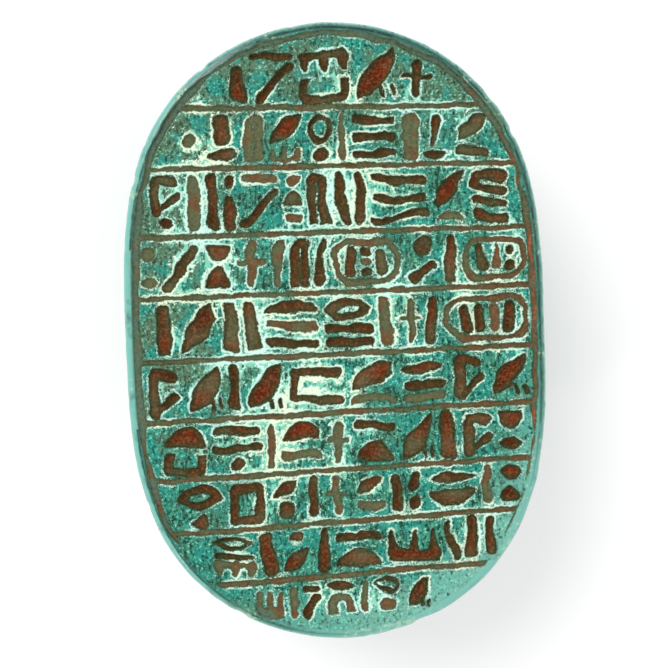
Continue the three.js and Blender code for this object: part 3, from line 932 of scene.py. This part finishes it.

# Off the face the glaze is smoother: middle blue-green with olive clouds, dark spots, a slate edge with a
# painted highlight along the upper band of its side and painted light on its left and lower-right sides,
# and dirt in the carved lines
plain = paint(srgb(34, 116, 98), ramp(patches, 0.4, 0.62), srgb(60, 152, 132))
plain = paint(plain, masked(ramp(clouds, 0.5, 0.66), 0.7), srgb(88, 122, 94))
plain = paint(plain, masked(ramp(both(grain, patches), 1.02, 1.2), 0.6), srgb(24, 74, 60))
# The slate and the dark rim line are left out where the paler glaze and the painted light lie
outside_pale_and_lit = less(1.0, masked(read["pale_and_lit"], 0.9))
slate = masked(ramp(read["inset"], 0.2, 0.6), ramp(clouds, 0.66, 0.42), outside_pale_and_lit)
plain = paint(plain, masked(slate, 0.8), srgb(46, 92, 84))
# Painted highlight along the upper band of the plinth's side
plain = paint(plain, masked(read["crest"], ramp(streaks, 0.3, 0.55), 0.85), srgb(164, 214, 202))
# Painted light on the left and lower-right sides of the plinth
plain = paint(plain, masked(read["pale_and_lit"], ramp(patches, 0.25, 0.5), 0.9), srgb(128, 200, 186))
dirty = masked(ramp(both(read["hollow"], masked(grain, 0.9)), 0.9, 1.45), 0.85)
creased = masked(ramp(less(masked(grain, 1.2), read["ridge"]), 1.1, 2.0), 0.8)
plain = paint(plain, sum_node(nodes, "MAXIMUM", dirty, creased), srgb(60, 56, 36))

# There too it has worn to cream, along the ridges and in scattered specks
rubbed = ramp(both(read["ridge"], masked(grain, 2.6)), 2.0, 2.9)
plain = paint(plain, masked(rubbed, ramp(patches, 0.36, 0.6), 0.75), srgb(186, 220, 190))
bare_specks = placed(specks, Vector=in_mm, Scale=0.9, Amount=ramp(clouds, 0.3, 0.9))["Mask"]
plain = paint(plain, masked(bare_specks, 0.7), srgb(176, 214, 184))
body = paint(plain, read["face"], body)

# Cream on the face, where the glaze has worn through: specks near the cuts, and a broken line round them
# that is partly wear and partly a painted highlight on their raised rims
bands = placed(cut_bands, Edge=read["edge"], Wander=grain)
near_cuts = both(masked(bands["Near"], 0.9), 0.4)
mint_amount = masked(near_cuts, read["worn"], 1.25)
mint = placed(specks, Vector=drawn_out, Scale=1.1, Amount=mint_amount)["Mask"]
body = paint(body, masked(mint, read["face"], 0.72), srgb(146, 234, 204))
cream_amount = masked(near_cuts, read["worn"], 0.93)
cream_specks = placed(specks, Vector=in_mm, Scale=1.9, Amount=cream_amount)["Mask"]
kept = both(both(patches, masked(read["worn"], 0.5)), masked(sand, 0.7))
clear_of_border = both(masked(ramp(read["inset"], 1.9, 2.6), 0.75), 0.25)
# Partly wear and partly a painted highlight: a broken cream line round each cut
cream_and_highlight_line = masked(bands["Rim"], ramp(kept, 0.86, 1.08), clear_of_border)
cream = masked(sum_node(nodes, "MAXIMUM", cream_specks, cream_and_highlight_line), read["face"])
body = paint(body, cream, paint(srgb(240, 255, 224), ramp(clouds, 0.4, 0.6), srgb(214, 255, 238)))

# Earth in the cuts: olive-brown where they are shallow, brown-red on the floor of deep ones, and in the
# border washed out in patches, with rust at the right. On their walls the earth carries painted shade,
# darker in deep cuts
reddish = ramp(both(patches, masked(read["rust"], 0.14)), 0.45, 0.6)
shallow_earth = paint(srgb(98, 104, 74), reddish, srgb(116, 84, 56))
in_border = ramp(read["inset"], 2.3, 1.9)
washed = less(ramp(patches, 0.56, 0.42), masked(read["rust"], 0.6))
shallow_earth = paint(shallow_earth, masked(in_border, washed, 0.9), srgb(84, 112, 96))
rusty = ramp(both(patches, masked(streaks, 0.3)), 0.66, 0.76)
shallow_earth = paint(shallow_earth, masked(in_border, rusty, read["rust"]), srgb(172, 92, 62))
deep_earth = paint(srgb(78, 38, 14), ramp(both(patches, grain), 0.8, 1.15), srgb(122, 45, 14))
# Painted shade on the walls of the cuts: dark olive, darker the deeper the cut
wall_earth_and_shade = paint(srgb(78, 90, 62), ramp(read["deep"], 0.2, 0.7), srgb(48, 58, 32))
floor_earth = paint(shallow_earth, ramp(read["deep"], 0.35, 0.8), srgb(80, 70, 38))
core_earth = paint(shallow_earth, ramp(read["deep"], 0.45, 0.85), deep_earth)
earth = paint(wall_earth_and_shade, bands["Floor"], floor_earth)
earth = paint(earth, bands["Core"], core_earth)
earth = paint(earth, masked(ramp(grain, 0.5, 0.62), 0.26), srgb(146, 136, 98))
earth = paint(earth, masked(ramp(grain, 0.48, 0.36), 0.3), srgb(44, 40, 24))
colour = paint(body, bands["Fill"], earth)

# A thin broken dark line where the worn rim meets the flat of the face
rim_line = masked(ramp(read["inset"], 0.5, 0.68), ramp(read["inset"], 1.05, 0.85))
broken = ramp(both(streaks, patches), 0.86, 1.04)
colour = paint(colour, masked(rim_line, broken, outside_pale_and_lit, 0.9), srgb(16, 44, 38))
nodes.links.new(colour, shader.inputs["Base Color"])

# The glaze shines under a thin clear coat, less so on the worn face, and the earth is dull
rough = add_node(nodes, "ShaderNodeMapRange", {"Value": bands["Fill"], "To Min": 0.38, "To Max": 0.85})
nodes.links.new(rough.outputs["Result"], shader.inputs["Roughness"])
shader.inputs["Specular IOR Level"].default_value = 0.1
coat = masked(less(0.8, masked(read["face"], 0.55)), less(1.0, bands["Fill"]))
nodes.links.new(coat, shader.inputs["Coat Weight"])
shader.inputs["Coat Roughness"].default_value = 0.18
height = less(both(grain, masked(cream, 0.3)), masked(bands["Fill"], 0.5))
bump = add_node(nodes, "ShaderNodeBump", {"Height": height, "Strength": 0.6, "Distance": 0.0002})
nodes.links.new(bump.outputs["Normal"], shader.inputs["Normal"])
amulet.data.materials.append(glaze)

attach(amulet, "root")
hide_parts("scarab_amulet")


# ---- The floor ------------------------------------------------------------------------------------
# A wide sheet of pale paper that the amulet lies on. It glows a little, so that it stays pale in the shade.

FLOOR_SIZE_M = 12
FLOOR_GLOW = 0.3
bpy.ops.mesh.primitive_plane_add(size=FLOOR_SIZE_M)
floor = bpy.context.object
floor.name = "floor"
paper = bpy.data.materials.new("floor_paper")
paper.use_nodes = True
paper_shader = paper.node_tree.nodes["Principled BSDF"]
paper_shader.inputs["Base Color"].default_value = (0.78, 0.78, 0.78, 1)
paper_shader.inputs["Emission Color"].default_value = (1, 1, 1, 1)
paper_shader.inputs["Emission Strength"].default_value = FLOOR_GLOW
floor.data.materials.append(paper)


# ---- The light ------------------------------------------------------------------------------------
# An even pale sky lights the studio all round. A broad key lamp stands behind the left side, a very broad
# fill opposite it, and a small glint low at the left picks out the plinth's edge.

SKY_STRENGTH = 0.46
world = bpy.data.worlds.new("studio")
bpy.context.scene.world = world
world.use_nodes = True
sky = world.node_tree.nodes["Background"]
sky.inputs["Color"].default_value = (1, 1, 1, 1)
sky.inputs["Strength"].default_value = SKY_STRENGTH
bpy.context.scene.view_settings.view_transform = "Standard"


def soft_sun(name, direction, spread_deg, strength):
    """A distant lamp that shines from a direction, with a spread that softens its shadows."""
    data = bpy.data.lights.new(name, "SUN")
    data.energy = strength
    data.angle = math.radians(spread_deg)
    lamp = bpy.data.objects.new(name, data)
    lamp.rotation_euler = Vector(direction).to_track_quat("Z", "Y").to_euler()
    bpy.context.scene.collection.objects.link(lamp)


soft_sun("key", (-0.5, 0.55, 1.0), 32, 1.6)
soft_sun("fill", (0.6, -0.3, 1.1), 80, 0.75)
soft_sun("glint", (-0.62, -0.6, 0.55), 6, 0.3)


# ---- The camera -----------------------------------------------------------------------------------
# It looks down on the inscribed face from straight above, but for a slight lean and a slight roll.

LENS_MM = 100
DISTANCE_M = 0.2455
ROLL_DEG = 1.95
LEAN_X_DEG, LEAN_Y_DEG = -2.5, 3.0
target = Vector((-0.00033, -0.00013, FACE_Z * MM))
camera_data = bpy.data.cameras.new("camera")
camera_data.lens = LENS_MM
camera = bpy.data.objects.new("camera", camera_data)
bpy.context.scene.collection.objects.link(camera)
bpy.context.scene.camera = camera
back = Vector((math.tan(math.radians(LEAN_X_DEG)), math.tan(math.radians(LEAN_Y_DEG)), 1)).normalized()
head_up = Vector((math.sin(math.radians(ROLL_DEG)), math.cos(math.radians(ROLL_DEG)), 0))
to_right = head_up.cross(back).normalized()
camera.rotation_euler = Matrix((to_right, back.cross(to_right), back)).transposed().to_euler()
camera.location = target + DISTANCE_M * back
